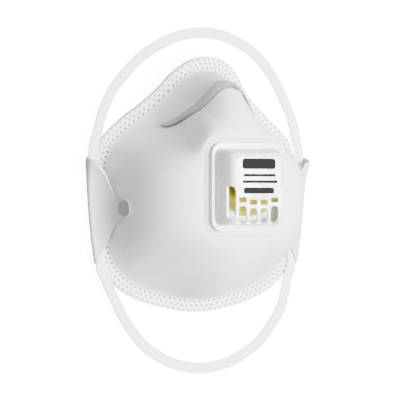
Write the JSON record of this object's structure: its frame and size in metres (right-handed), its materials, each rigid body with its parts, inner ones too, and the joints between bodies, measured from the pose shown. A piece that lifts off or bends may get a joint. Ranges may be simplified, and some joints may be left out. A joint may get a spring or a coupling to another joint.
{
  "type": "disposable dust mask",
  "caption": "Moulded cup dust mask with flat welded rim, exhalation valve with slotted cover, nose clip, side wings folded over one elastic strap loop.",
  "frame": {"origin": "middle of the mask's outline, on the plane of the rim's underside, on which the mask lies", "axes": "+Z out of the face towards the mask's front, +Y up on the wearer towards the nose, +X to the right as seen from the front"},
  "size_m": [0.1484, 0.1914, 0.0634],
  "materials": {
    "outer_cover": "spunbonded nonwoven, matt white",
    "filter_media": "melt-blown felt, white",
    "support_felt": "thermoformed polyester felt, white",
    "clip_metal": "soft aluminium strip, satin grey",
    "nose_foam": "soft closed foam, pale grey",
    "valve_frame": "glossy white moulded plastic",
    "flap_rubber": "thin ochre yellow rubber",
    "valve_cover": "glossy ivory white moulded plastic",
    "wing_fabric": "pressed nonwoven, pale grey",
    "strap_elastic": "flat woven elastic, off-white"
  },
  "bodies": {
    "mask": {"outer_cover": "outer_cover", "filter_layer": "filter_media", "support_cup": "support_felt", "nose_clip": "clip_metal", "nose_foam": "nose_foam", "valve_base": "valve_frame", "valve_backing_ring": "valve_frame", "valve_cover": "valve_cover", "left_strap_wing": "wing_fabric", "right_strap_wing": "wing_fabric", "left_strap_run": "strap_elastic", "right_strap_run": "strap_elastic"},
    "flap": {"valve_flap": "flap_rubber"},
    "upper_strap": {"upper_strap": "strap_elastic"},
    "lower_strap": {"lower_strap": "strap_elastic"}
  },
  "joints": [
    {"name": "flap_bend", "type": "hinge", "parent": "mask", "child": "flap", "pos_m": [0, 0.0147, 0.05385], "axis": [-1, 0, 0], "range_deg": [0, 12], "stiffness_Nm_per_rad": 0.0002},
    {"name": "upper_strap_swing", "type": "hinge", "parent": "mask", "child": "upper_strap", "pos_m": [0, 0.0175, 0.00275], "axis": [1, 0, 0], "range_deg": [0, 80]},
    {"name": "lower_strap_swing", "type": "hinge", "parent": "mask", "child": "lower_strap", "pos_m": [0, -0.045, 0.00275], "axis": [-1, 0, 0], "range_deg": [0, 80]}
  ]
}
